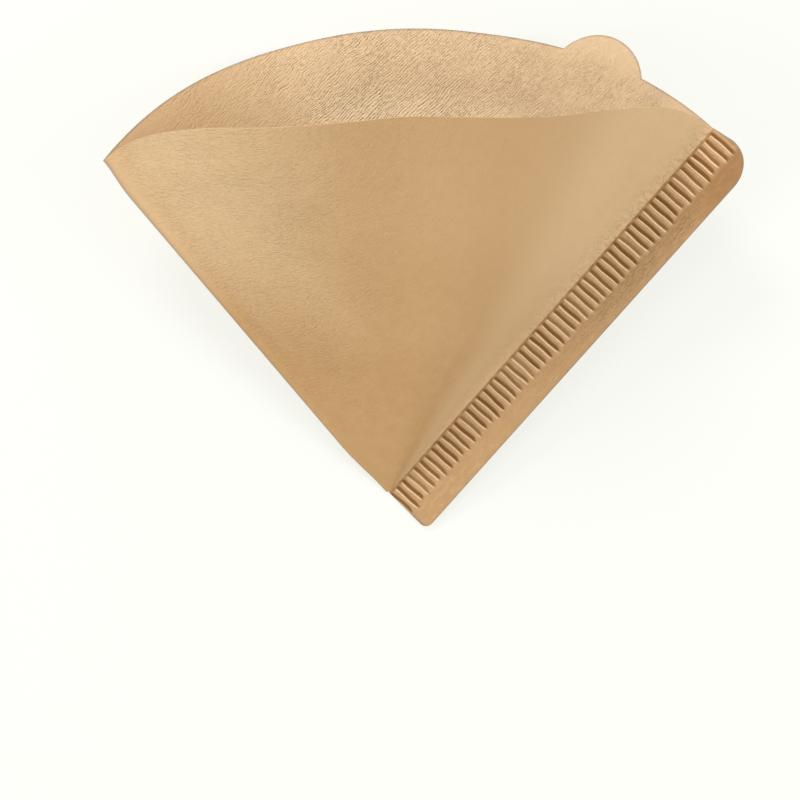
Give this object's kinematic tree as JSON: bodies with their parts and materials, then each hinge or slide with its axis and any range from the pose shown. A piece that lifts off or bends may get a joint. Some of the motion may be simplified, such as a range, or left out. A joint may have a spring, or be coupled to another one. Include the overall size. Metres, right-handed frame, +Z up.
{
  "type": "paper coffee filter",
  "caption": "Opened cone coffee filter of unbleached paper, with a folded edge, a crimped seam strip and a round pull tab on the rim.",
  "frame": {"origin": "middle of the floor area that the lying filter covers, on the surface that it rests on", "axes": "+X from the folded edge to the crimped seam, +Y from the point of the cone to its mouth, +Z up; the filter lies on the flat facet of its back panel"},
  "size_m": [0.154, 0.1252, 0.0796],
  "materials": {
    "kraft_paper": "matt unbleached creped paper"
  },
  "bodies": {
    "root": {"filter_paper": "kraft_paper"}
  },
  "joints": []
}
